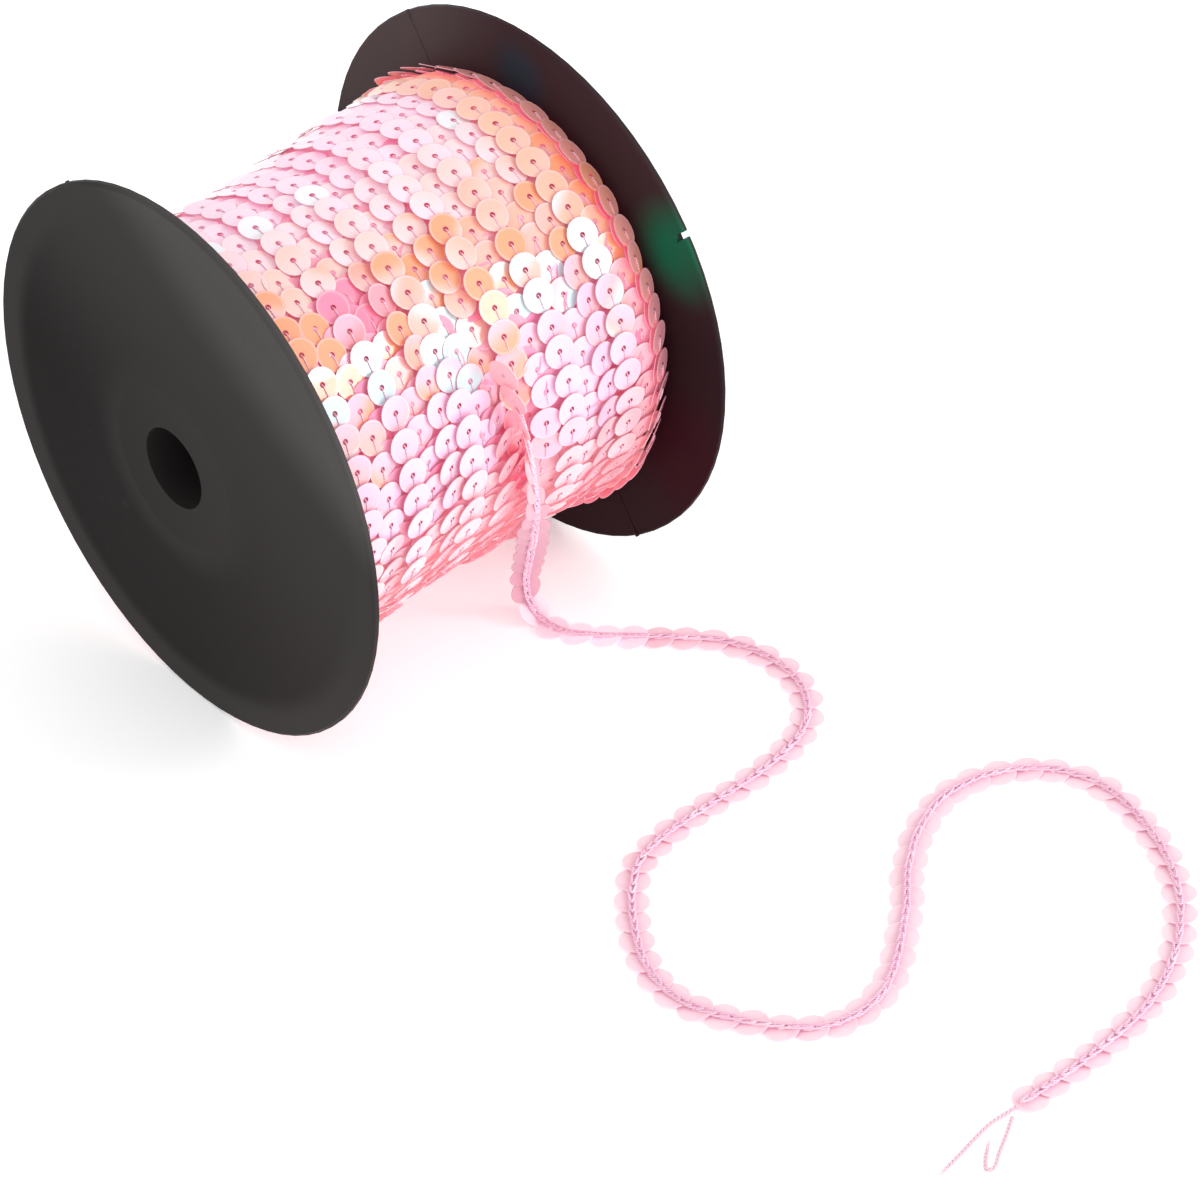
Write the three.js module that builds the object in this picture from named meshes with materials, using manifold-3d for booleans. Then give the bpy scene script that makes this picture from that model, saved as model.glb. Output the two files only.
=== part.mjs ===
// A spool of 6 mm sequin trim that lies on its two rims, with a loose end of the trim on the surface.
// Lengths are millimetres. The spool's axis runs along X, +Z is up, and the surface is the plane z = 0.
import * as THREE from 'three';
import { mergeVertices } from 'three/addons/utils/BufferGeometryUtils.js';
import Module from 'manifold-3d';

const wasm = await Module();
wasm.setup();

// The spool: one black moulding of two thin flanges on a bored core.
const flangeRadius = 50;
const flangeThickness = 1.5;
const flangeGap = 75.4;
const hubRise = 1.6;
const hubRadius = 15;
const coreRadius = 10.5;
const boreRadius = 7.4;
const rimRound = 0.5;
const rimBand = 4;
const coreFillet = 0.3;
const spoolSectors = 72;

// The moulding stands on a narrow flat across the foot of each rim.
const restFlatWidth = 7;
const axisHeight = Math.sqrt(flangeRadius ** 2 - (restFlatWidth / 2) ** 2);

// The thin flanges lean a little about the vertical, the one at -X more, and the core between them
// with its winding shares the lean evenly.
const leanLow = 2.5;
const leanHigh = 1.0;
const middleShift = 0.2;

// A thread catch is cut in the rim of the flange at +X. Angles about the axis are counted in degrees
// from the front, -Y, over the top, +Z.
const catchTurn = 36;
const catchDepth = 2.6;
const catchMouth = 1.2;
const catchEnd = 1.9;
const cutMargin = 1;

// The wound trim: some 36 layers, wound by hand-led rows, so that the surface rises and falls in bands.
const woundLength = 74.8;
const woundBore = 10.9;
const woundSectors = 64;
const woundStep = 2;
const woundProfile = [
  { x: -37.4, radius: 35.6 },
  { x: -35.6, radius: 37.5 },
  { x: -31, radius: 38.3 },
  { x: -26, radius: 38.4 },
  { x: -21, radius: 38.2 },
  { x: -15, radius: 37.7 },
  { x: -8, radius: 37.6 },
  { x: -2, radius: 37.3 },
  { x: 4, radius: 38.3 },
  { x: 9, radius: 38.6 },
  { x: 14, radius: 39.0 },
  { x: 20, radius: 39.4 },
  { x: 25, radius: 39.2 },
  { x: 31.5, radius: 40.0 },
  { x: 34.6, radius: 39.7 },
  { x: 36, radius: 38.2 },
  { x: 37.4, radius: 35.6 },
];

// The +X half is fuller behind the top, and the -X half is fuller in front below the axis.
const fullness = { turn: 138, height: 0.6, middle: -3, reach: 15 };

// Furrows where one band of rows has sunk beside the next: the loose end comes out of the first.
const furrows = [
  { x: 5.7, slant: -0.125, turn: 2, span: 56, halfWidth: 5.6, depth: 3.3 },
  { x: -4, slant: -0.09, turn: 48, span: 44, halfWidth: 3.4, depth: 0.9 },
  { x: -17, slant: -0.06, turn: 62, span: 52, halfWidth: 3.2, depth: 0.7 },
];

// The loose end is the same flat trim, 6 mm wide. It leaves its furrow on edge, turns its back to the
// front, hangs to the surface and lies there back up. "face" is the way that its sequins look, in
// degrees from -Y over -X, and "dip" is how far they look down.
const trimWidth = 6;
const trimThickness = 1;
const trimEdge = 0.8;
const trimStep = 5.2;
const trimLift = 0.2;
const hanging = [
  { x: 0.6, y: -35.8, z: 67.0, face: 88, dip: -12 },
  { x: 1.3, y: -37.8, z: 62.1, face: 102, dip: -8 },
  { x: 2.0, y: -39.1, z: 56.6, face: 116, dip: -4 },
  { x: 4.5, y: -39.0, z: 41.3, face: 160, dip: 0 },
  { x: 7.2, y: -35.9, z: 31.6, face: 204, dip: 0 },
  { x: 11.4, y: -30.1, z: 20.6, face: 214, dip: 0 },
  { x: 15.1, y: -24.9, z: 9.0, face: 198, dip: 6 },
  { x: 16.0, y: -24.5, z: 4.6, face: 188, dip: 28 },
  { x: 16.5, y: -26.2, z: 1.7, face: 182, dip: 62 },
  { x: 16.8, y: -29.4, z: 0.7, face: 182, dip: 86 },
];
const lying = [
  { x: 18.7, y: -34.2 },
  { x: 34.9, y: -52.2 },
  { x: 37.8, y: -59.6 },
  { x: 37.5, y: -68.3 },
  { x: 34.0, y: -74.9 },
  { x: 28.3, y: -79.2 },
  { x: 19.0, y: -81.4 },
  { x: -9.7, y: -82.3 },
  { x: -17.2, y: -85.3 },
  { x: -28.8, y: -98.2 },
  { x: -32.2, y: -106.4 },
  { x: -31.9, y: -114.6 },
  { x: -22.0, y: -130.3 },
  { x: -14.7, y: -133.2 },
  { x: -7.0, y: -132.3 },
  { x: 8.4, y: -122.2 },
  { x: 16.3, y: -115.3 },
  { x: 24.6, y: -110.0 },
  { x: 34.2, y: -107.3 },
  { x: 43.9, y: -109.1 },
  { x: 51.0, y: -114.4 },
  { x: 54.6, y: -122.8 },
  { x: 53.4, y: -132.4 },
  { x: 49.1, y: -142.7 },
  { x: 41.5, y: -152.4 },
  { x: 31.2, y: -159.7 },
  { x: 20.1, y: -163.8 },
  { x: 9.4, y: -165.0 },
  { x: -0.1, y: -165.2 },
  { x: -8.5, y: -164.8 },
];

// Past the last sequin its stitching thread runs on bare: a long end and a narrow loop.
const threadWidth = 0.9;
const threadSides = 8;
const threadStep = 1.6;
const threadLift = 0.1;
const longEnd = [
  { x: -8.85, y: -164.8 },
  { x: -12.3, y: -164.5 },
  { x: -16.7, y: -164.2 },
  { x: -20.9, y: -164.7 },
  { x: -25.4, y: -165.5 },
  { x: -30.4, y: -166.2 },
];
const loopEnd = [
  { x: -13.4, y: -165.6 },
  { x: -16.4, y: -167.3 },
  { x: -20.3, y: -169.3 },
  { x: -23.6, y: -171.0 },
  { x: -24.5, y: -170.5 },
  { x: -23.7, y: -169.4 },
  { x: -21.6, y: -167.8 },
  { x: -19.7, y: -166.4 },
];

const black = { color: 0x2b2a2b, roughness: 0.45, metalness: 0 };
const pink = { color: 0xf7b9c6, roughness: 0.3, metalness: 0.1 };
const palePink = { color: 0xf9cfdd, roughness: 0.4, metalness: 0.05 };
const thread = { color: 0xf1c4d2, roughness: 0.8, metalness: 0 };

const radians = THREE.MathUtils.degToRad;

function node(name, geometry, look) {
  const plain = geometry.index ? geometry.toNonIndexed() : geometry;
  plain.computeVertexNormals();
  const mesh = new THREE.Mesh(plain, new THREE.MeshStandardMaterial({ ...look, name }));
  mesh.name = name;
  return mesh;
}

function welded(geometry) {
  const bare = geometry.clone();
  bare.deleteAttribute('normal');
  bare.deleteAttribute('uv');
  return mergeVertices(bare, 1e-4);
}

function solidOf(geometry) {
  const shape = welded(geometry);
  return new wasm.Manifold(new wasm.Mesh({
    numProp: 3,
    vertProperties: new Float32Array(shape.attributes.position.array),
    triVerts: new Uint32Array(shape.index.array),
  }));
}

function geometryOf(solid) {
  const mesh = solid.getMesh();
  const geometry = new THREE.BufferGeometry();
  geometry.setAttribute('position', new THREE.BufferAttribute(mesh.vertProperties, 3));
  geometry.setIndex(new THREE.BufferAttribute(mesh.triVerts, 1));
  return geometry;
}

// A closed skin over rows of points: each row is joined to the next, and every row closes on itself.
// Loops join the last row to the first; open runs get a flat cap at both ends.
function skin(rows, isLoop) {
  const count = rows[0].length;
  const positions = rows.flat().flatMap((point) => point.toArray());
  const faces = [];
  const bands = isLoop ? rows.length : rows.length - 1;
  for (let band = 0; band < bands; band += 1) {
    const here = band * count;
    const next = ((band + 1) % rows.length) * count;
    for (let i = 0; i < count; i += 1) {
      const j = (i + 1) % count;
      faces.push(here + i, here + j, next + j, here + i, next + j, next + i);
    }
  }
  if (!isLoop) {
    const last = (rows.length - 1) * count;
    for (let i = 1; i < count - 1; i += 1) {
      faces.push(0, i + 1, i, last, last + i, last + i + 1);
    }
  }
  const geometry = new THREE.BufferGeometry();
  geometry.setAttribute('position', new THREE.Float32BufferAttribute(positions, 3));
  geometry.setIndex(faces);
  return geometry;
}

// Leans the spool and its winding: points move along the axis in proportion to how far back they are.
function leaned(geometry) {
  const reach = woundLength / 2;
  const place = geometry.attributes.position;
  for (let i = 0; i < place.count; i += 1) {
    const share = THREE.MathUtils.clamp((place.getX(i) + reach) / (2 * reach), 0, 1);
    const lean = Math.tan(radians(THREE.MathUtils.lerp(leanLow, leanHigh, share)));
    place.setX(i, place.getX(i) + lean * place.getY(i) + middleShift);
  }
  return geometry;
}

// The spool's section, turned about its axis. The radius is the first value and the place along the
// axis the second, and the lathe's own axis is then laid along X.
function spoolGeometry() {
  const inner = flangeGap / 2;
  const outer = inner + flangeThickness;
  const hub = outer + hubRise;
  const half = [
    [boreRadius, hub],
    [hubRadius, hub],
    [flangeRadius - rimBand, outer],
    [flangeRadius - rimRound, outer],
    [flangeRadius, outer - rimRound],
    [flangeRadius, inner + rimRound / 2],
    [flangeRadius - rimRound / 2, inner],
    [coreRadius + coreFillet, inner],
    [coreRadius, inner - coreFillet],
  ];
  const mirrored = half.map(([radius, along]) => [radius, -along]).reverse();
  const section = [...half, ...mirrored, half[0]];
  const turned = new THREE.LatheGeometry(
    section.map(([radius, along]) => new THREE.Vector2(radius, along)).reverse(),
    spoolSectors,
    Math.PI / spoolSectors,
  );
  return turned.rotateZ(-Math.PI / 2).translate(0, 0, axisHeight);
}

// The catch is a short slot from the rim inwards that widens at its end.
function catchGeometry() {
  const slot = new THREE.Shape([
    new THREE.Vector2(-catchMouth / 2, flangeRadius + cutMargin),
    new THREE.Vector2(-catchMouth / 2, flangeRadius - catchDepth / 2),
    new THREE.Vector2(-catchEnd / 2, flangeRadius - catchDepth),
    new THREE.Vector2(catchEnd / 2, flangeRadius - catchDepth),
    new THREE.Vector2(catchMouth / 2, flangeRadius - catchDepth / 2),
    new THREE.Vector2(catchMouth / 2, flangeRadius + cutMargin),
  ]);
  const depth = flangeThickness + 2 * cutMargin;
  const turn = radians(catchTurn);
  const outward = new THREE.Vector3(0, -Math.cos(turn), Math.sin(turn));
  const along = new THREE.Vector3(1, 0, 0);
  const across = outward.clone().cross(along);
  const place = new THREE.Matrix4().makeBasis(across, outward, along);
  place.setPosition(flangeGap / 2 - cutMargin, 0, axisHeight);
  return new THREE.ExtrudeGeometry(slot, { depth, bevelEnabled: false }).applyMatrix4(place);
}

function surfaceGeometry() {
  const deep = flangeRadius / 10;
  return new THREE.BoxGeometry(flangeGap * 2, flangeRadius, deep).translate(0, 0, -deep / 2);
}

// Smooth hump: 1 in the middle, 0 from a distance of 1 on.
function hump(distance) {
  const reach = Math.min(Math.abs(distance), 1);
  return (1 + Math.cos(Math.PI * reach)) / 2;
}

function profileRadius(x) {
  const next = Math.max(1, woundProfile.findIndex((row) => row.x >= x - 1e-6));
  const [low, high] = [woundProfile[next - 1], woundProfile[next]];
  const share = THREE.MathUtils.clamp((x - low.x) / (high.x - low.x), 0, 1);
  return THREE.MathUtils.lerp(low.radius, high.radius, share);
}

function woundRadius(x, turn) {
  const side = THREE.MathUtils.clamp((x - fullness.middle) / fullness.reach, -1, 1);
  let radius = profileRadius(x) + fullness.height * side * Math.cos(radians(turn - fullness.turn));
  for (const furrow of furrows) {
    const away = THREE.MathUtils.euclideanModulo(turn - furrow.turn + 180, 360) - 180;
    const middle = furrow.x + furrow.slant * (away + furrow.turn);
    radius -= furrow.depth * hump((x - middle) / furrow.halfWidth) * hump(away / furrow.span);
  }
  return radius;
}

function ringRow(x, radiusAt) {
  return Array.from({ length: woundSectors }, (_, sector) => {
    const degrees = (-360 * sector) / woundSectors;
    const radius = radiusAt(degrees);
    const turn = radians(degrees);
    return new THREE.Vector3(x, -radius * Math.cos(turn), axisHeight + radius * Math.sin(turn));
  });
}

function woundGeometry() {
  const half = woundLength / 2;
  const count = Math.round(woundLength / woundStep);
  const places = Array.from({ length: count + 1 }, (_, i) => -half + (woundLength * i) / count);
  const outside = places.map((x) => ringRow(x, (degrees) => woundRadius(x, degrees)));
  const inside = [ringRow(half, () => woundBore), ringRow(-half, () => woundBore)];
  return skin([...outside, ...inside], true);
}

// The loose end: a flat strip swept along its middle line, with thinner edges.
function trimGeometry() {
  const rest = { z: trimThickness / 2 + trimLift, face: 182, dip: 90 };
  const route = [...hanging, ...lying.map((point) => ({ ...rest, ...point }))];
  const line = new THREE.CatmullRomCurve3(
    route.map(({ x, y, z }) => new THREE.Vector3(x, y, z)),
    false,
    'centripetal',
  );
  const looks = new THREE.CatmullRomCurve3(route.map(({ face, dip }) => {
    const level = Math.cos(radians(dip));
    const round = radians(face);
    const down = -Math.sin(radians(dip));
    return new THREE.Vector3(-Math.sin(round) * level, -Math.cos(round) * level, down);
  }), false, 'catmullrom', 0.5);
  const count = Math.round(line.getLength() / trimStep);
  const across = trimWidth / 2;
  const shoulder = across - trimEdge;
  const deep = trimThickness / 2;
  const section = [
    [across, 0],
    [shoulder, deep],
    [-shoulder, deep],
    [-across, 0],
    [-shoulder, -deep],
    [shoulder, -deep],
  ];
  const rows = Array.from({ length: count + 1 }, (_, i) => {
    const at = line.getUtoTmapping(i / count);
    const middle = line.getPoint(at);
    const ahead = line.getTangent(at);
    const wide = looks.getPoint(at).cross(ahead).normalize();
    const thick = ahead.clone().cross(wide).normalize();
    return section.map(([side, rise]) => middle.clone()
      .addScaledVector(wide, side)
      .addScaledVector(thick, rise));
  });
  return skin(rows, false);
}

function threadGeometry(points) {
  const height = threadWidth / 2 + threadLift;
  const line = new THREE.CatmullRomCurve3(
    points.map(({ x, y }) => new THREE.Vector3(x, y, height)),
    false,
    'centripetal',
  );
  const section = new THREE.Shape();
  section.absarc(0, 0, threadWidth / 2, 0, Math.PI * 2);
  return new THREE.ExtrudeGeometry(section, {
    curveSegments: threadSides,
    steps: Math.round(line.getLength() / threadStep),
    bevelEnabled: false,
    extrudePath: line,
  });
}

const spool = solidOf(spoolGeometry())
  .subtract(solidOf(catchGeometry()))
  .subtract(solidOf(surfaceGeometry()));

const trimOnSpool = new THREE.Group();
trimOnSpool.add(
  node('spool', leaned(geometryOf(spool)), black),
  node('wound_trim', leaned(woundGeometry()), pink),
  node('loose_end', trimGeometry(), palePink),
  node('thread_end', threadGeometry(longEnd), thread),
  node('thread_loop', threadGeometry(loopEnd), thread),
);

export default trimOnSpool;
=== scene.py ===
import math

import bmesh
import bpy
import numpy as np
from mathutils import Matrix, Vector


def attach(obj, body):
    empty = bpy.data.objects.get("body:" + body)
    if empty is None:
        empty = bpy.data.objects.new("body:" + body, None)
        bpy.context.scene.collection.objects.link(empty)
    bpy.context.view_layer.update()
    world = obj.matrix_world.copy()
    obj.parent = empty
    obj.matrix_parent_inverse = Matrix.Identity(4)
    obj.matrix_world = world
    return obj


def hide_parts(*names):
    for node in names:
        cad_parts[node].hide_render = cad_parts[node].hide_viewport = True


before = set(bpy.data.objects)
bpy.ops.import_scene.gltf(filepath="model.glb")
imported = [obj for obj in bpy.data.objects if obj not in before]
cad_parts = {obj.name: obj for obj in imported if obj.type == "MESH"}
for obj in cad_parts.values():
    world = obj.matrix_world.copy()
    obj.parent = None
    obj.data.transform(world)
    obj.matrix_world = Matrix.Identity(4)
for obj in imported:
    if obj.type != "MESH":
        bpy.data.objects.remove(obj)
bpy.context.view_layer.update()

# The camera
# It stands before the spool's left end, nearly a metre away, and looks down on it.
camera_turn = math.radians(-43.82)
camera_rise = math.radians(39.29)
camera_distance = 0.9031
camera_target = Vector((0.0568, 0.0, -0.0311))
away = Vector((
    math.sin(camera_turn) * math.cos(camera_rise),
    -math.cos(camera_turn) * math.cos(camera_rise),
    math.sin(camera_rise),
))
rightwards = Vector((math.cos(camera_turn), math.sin(camera_turn), 0.0))
upwards = away.cross(rightwards)
camera_data = bpy.data.cameras.new("camera")
camera_data.lens = 145.47
camera_data.sensor_width = 36.0
camera_data.sensor_fit = "HORIZONTAL"
camera_data.clip_end = 10.0
camera = bpy.data.objects.new("camera", camera_data)
camera.matrix_world = Matrix.Translation(camera_target + away * camera_distance) @ Matrix(
    (rightwards, upwards, away)
).transposed().to_4x4()
bpy.context.collection.objects.link(camera)
bpy.context.scene.camera = camera

# The loose end of the trim
# Flat film sequins of 6 mm, each stitched over the one before by a chain stitch that runs down the
# back. The end leaves its furrow in the winding on edge, turns its back to the front, hangs down and
# lies back up on the surface. Its route has a place, the way its sequins look and how far down.
hanging_route = [
    (0.0006, -0.0358, 0.0670, 88, -12),
    (0.0013, -0.0378, 0.0621, 102, -8),
    (0.0020, -0.0391, 0.0566, 116, -4),
    (0.0045, -0.0390, 0.0413, 160, 0),
    (0.0072, -0.0359, 0.0316, 204, 0),
    (0.0114, -0.0301, 0.0206, 214, 0),
    (0.0151, -0.0249, 0.0090, 198, 6),
    (0.0160, -0.0245, 0.0046, 188, 28),
    (0.0165, -0.0262, 0.0017, 182, 62),
    (0.0168, -0.0294, 0.0007, 182, 86),
]
lying_route = [
    (0.0187, -0.0342),
    (0.0349, -0.0522),
    (0.0378, -0.0596),
    (0.0375, -0.0683),
    (0.0340, -0.0749),
    (0.0283, -0.0792),
    (0.0190, -0.0814),
    (-0.0097, -0.0823),
    (-0.0172, -0.0853),
    (-0.0288, -0.0982),
    (-0.0322, -0.1064),
    (-0.0319, -0.1146),
    (-0.0220, -0.1303),
    (-0.0147, -0.1332),
    (-0.0070, -0.1323),
    (0.0084, -0.1222),
    (0.0163, -0.1153),
    (0.0246, -0.1100),
    (0.0342, -0.1073),
    (0.0439, -0.1091),
    (0.0510, -0.1144),
    (0.0546, -0.1228),
    (0.0534, -0.1324),
    (0.0491, -0.1427),
    (0.0415, -0.1524),
    (0.0312, -0.1597),
    (0.0201, -0.1638),
    (0.0094, -0.1650),
    (-0.0001, -0.1652),
    (-0.0085, -0.1648),
]
lying_height = 0.0007
trim_route = hanging_route + [(x, y, lying_height, 182, 90) for x, y in lying_route]
sequin_width = 0.006
sequin_hole = 0.001
sequin_film = 0.00014
trim_pitch = 0.0047


def smooth_line(points, power, spans):
    """Points along a smooth line through the given ones; power 0.25 spaces it by distance."""
    points = np.array(points, float)
    ends = np.vstack([2 * points[0] - points[1], points, 2 * points[-1] - points[-2]])
    line = []
    for before, here, ahead, after in zip(ends, ends[1:], ends[2:], ends[3:]):
        gaps = [
            max(float(((q - p) ** 2).sum()) ** power, 1e-9)
            for p, q in ((before, here), (here, ahead), (ahead, after))
        ]
        leaving = (here - before) / gaps[0] - (ahead - before) / (gaps[0] + gaps[1])
        leaving = (leaving + (ahead - here) / gaps[1]) * gaps[1]
        arriving = (ahead - here) / gaps[1] - (after - here) / (gaps[1] + gaps[2])
        arriving = (arriving + (after - ahead) / gaps[2]) * gaps[1]
        for share in np.arange(spans) / spans:
            square, cube = share**2, share**3
            line.append(
                here
                + leaving * (share - 2 * square + cube)
                + (ahead - here) * (3 * square - 2 * cube)
                + arriving * (cube - square)
            )
    line.append(points[-1])
    return np.array(line)


def look_vector(face, dip):
    """The way that the sequins look: face turns from the front, -Y, over -X, and dip is downwards."""
    face, dip = math.radians(face), math.radians(dip)
    level = math.cos(dip)
    return (-math.sin(face) * level, -math.cos(face) * level, -math.sin(dip))


def mesh_object(name, places, faces, own_places=None):
    """A mesh object; own_places keeps each point's place on the small piece that is repeated."""
    mesh = bpy.data.meshes.new(name)
    mesh.from_pydata([tuple(p) for p in places], [], faces)
    mesh.validate()
    if own_places is not None:
        kept = mesh.attributes.new("own_place", "FLOAT_VECTOR", "POINT")
        kept.data.foreach_set("vector", np.array(own_places, np.float32).ravel())
    made = bpy.data.objects.new(name, mesh)
    bpy.context.collection.objects.link(made)
    return made


def guide_line(name, places, outwards, **numbers):
    """An edge line for the laying tree, with the way out of the surface at every point."""
    mesh = bpy.data.meshes.new(name)
    mesh.from_pydata([tuple(p) for p in places], [(i, i + 1) for i in range(len(places) - 1)], [])
    outward = mesh.attributes.new("outward", "FLOAT_VECTOR", "POINT")
    outward.data.foreach_set("vector", np.array(outwards, np.float32).ravel())
    for kind, values in numbers.items():
        kept = mesh.attributes.new(kind, "FLOAT", "POINT")
        kept.data.foreach_set("value", values)
    made = bpy.data.objects.new(name, mesh)
    bpy.context.collection.objects.link(made)
    return made


def sequin_disc(name, sides, has_thick_hole):
    """One sequin: a flat film disc with a punched hole, its face up and its next one along +Y."""
    rim, hole = sequin_width / 2, sequin_hole / 2
    top, bottom = sequin_film / 2, -sequin_film / 2
    section = [(hole, top), (rim, top), (rim, bottom)]
    if has_thick_hole:
        section.append((hole, bottom))
    places, faces = [], []
    for side in range(sides):
        angle = 2 * math.pi * side / sides
        places += [(r * math.cos(angle), r * math.sin(angle), z) for r, z in section]
    count = len(section)
    for side in range(sides):
        here, there = side * count, (side + 1) % sides * count
        for i in range(count):
            j = (i + 1) % count
            faces.append((here + i, here + j, there + j, there + i))
    return mesh_object(name, places, faces, [Vector(p) / rim for p in places])


def laying_tree():
    """Lays a small piece along a line at even steps, tilted like a shingle, a little unevenly."""
    tree = bpy.data.node_groups.new("lay_along_line", "GeometryNodeTree")
    inputs = [
        ("Line", "NodeSocketGeometry"),
        ("Piece", "NodeSocketObject"),
        ("Step", "NodeSocketFloat"),
        ("Tilt", "NodeSocketFloat"),
        ("Unevenness", "NodeSocketFloat"),
        ("Scatter", "NodeSocketFloat"),
        ("Seed", "NodeSocketInt"),
        ("Finish", "NodeSocketMaterial"),
    ]
    for name, kind in inputs:
        tree.interface.new_socket(name=name, in_out="INPUT", socket_type=kind)
    tree.interface.new_socket(name="Laid", in_out="OUTPUT", socket_type="NodeSocketGeometry")
    given = tree.nodes.new("NodeGroupInput").outputs

    def node(kind, inputs, output=0, **settings):
        made = tree.nodes.new(kind)
        for name, value in settings.items():
            setattr(made, name, value)
        for name, value in inputs.items():
            if isinstance(value, bpy.types.NodeSocket):
                tree.links.new(value, made.inputs[name])
            else:
                made.inputs[name].default_value = value
        return made.outputs[output]

    def kept(geometry, name, value, kind):
        stored = {"Geometry": geometry, "Name": name, "Value": value}
        return node("GeometryNodeStoreNamedAttribute", stored, data_type=kind, domain="INSTANCE")

    line = node("GeometryNodeMeshToCurve", {"Mesh": given["Line"]})
    line = node("GeometryNodeResampleCurve", {"Curve": line, "Length": given["Step"]}, mode="LENGTH")
    outward = node("GeometryNodeInputNamedAttribute", {"Name": "outward"}, data_type="FLOAT_VECTOR")
    onward = node("GeometryNodeInputTangent", {})
    upright = node(
        "FunctionNodeAxesToRotation",
        {"Primary Axis": outward, "Secondary Axis": onward},
        primary_axis="Z",
        secondary_axis="Y",
    )
    piece = node("GeometryNodeObjectInfo", {"Object": given["Piece"]}, output="Geometry")
    laid = node(
        "GeometryNodeInstanceOnPoints", {"Points": line, "Instance": piece, "Rotation": upright}
    )

    def random_pair(most, seed):
        """A random vector in the piece's own plane, up to a given size either way."""
        least = node("ShaderNodeMath", {0: most, 1: -1.0}, operation="MULTIPLY")
        ends = {
            "Min": node("ShaderNodeCombineXYZ", {"X": least, "Y": least}),
            "Max": node("ShaderNodeCombineXYZ", {"X": most, "Y": most}),
            "Seed": seed,
        }
        return node("FunctionNodeRandomValue", ends, data_type="FLOAT_VECTOR")

    other_seed = node("ShaderNodeMath", {0: given["Seed"], 1: 100.0}, operation="ADD")
    shifted = {"Instances": laid, "Translation": random_pair(given["Scatter"], other_seed)}
    laid = node("GeometryNodeTranslateInstances", shifted)
    shingled = node("ShaderNodeCombineXYZ", {"X": given["Tilt"]})
    shingled = node(
        "ShaderNodeVectorMath",
        {0: shingled, 1: random_pair(given["Unevenness"], given["Seed"])},
        operation="ADD",
    )
    laid = node("GeometryNodeRotateInstances", {"Instances": laid, "Rotation": shingled})
    turned = node("GeometryNodeInputInstanceRotation", {})
    facing = node("FunctionNodeRotateVector", {"Vector": (0, 0, 1), "Rotation": turned})
    chance = node("FunctionNodeRandomValue", {"Seed": given["Seed"]}, output=1, data_type="FLOAT")
    laid = kept(laid, "facing", facing, "FLOAT_VECTOR")
    laid = kept(laid, "seat", node("GeometryNodeInputPosition", {}), "FLOAT_VECTOR")
    laid = kept(laid, "chance", chance, "FLOAT")
    laid = node("GeometryNodeRealizeInstances", {"Geometry": laid})
    laid = node("GeometryNodeSetMaterial", {"Geometry": laid, "Material": given["Finish"]})
    result = tree.nodes.new("NodeGroupOutput")
    tree.links.new(laid, result.inputs["Laid"])
    return tree


lay_along_line = laying_tree()


def laid_along(name, line, **inputs):
    """Runs the laying tree over a line and returns the plain mesh piece that comes out."""
    modifier = line.modifiers.new("lay", "NODES")
    modifier.node_group = lay_along_line
    for item in lay_along_line.interface.items_tree:
        if item.name in inputs:
            modifier[item.identifier] = inputs[item.name]
    bpy.context.view_layer.update()
    graph = bpy.context.evaluated_depsgraph_get()
    mesh = bpy.data.meshes.new_from_object(line.evaluated_get(graph), depsgraph=graph)
    line.modifiers.remove(modifier)
    mesh.name = name
    made = bpy.data.objects.new(name, mesh)
    bpy.context.collection.objects.link(made)
    return made


def drop(*tools):
    """Takes the guide lines and small master pieces out once all is laid."""
    for tool in tools:
        bpy.data.objects.remove(tool)


def seen(red, green, blue):
    """A colour as the eye names it, 0 to 255, made linear for the shaders."""
    shares = [value / 255 for value in (red, green, blue)]
    linear = [s / 12.92 if s <= 0.04045 else ((s + 0.055) / 1.055) ** 2.4 for s in shares]
    return (*linear, 1.0)


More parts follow.
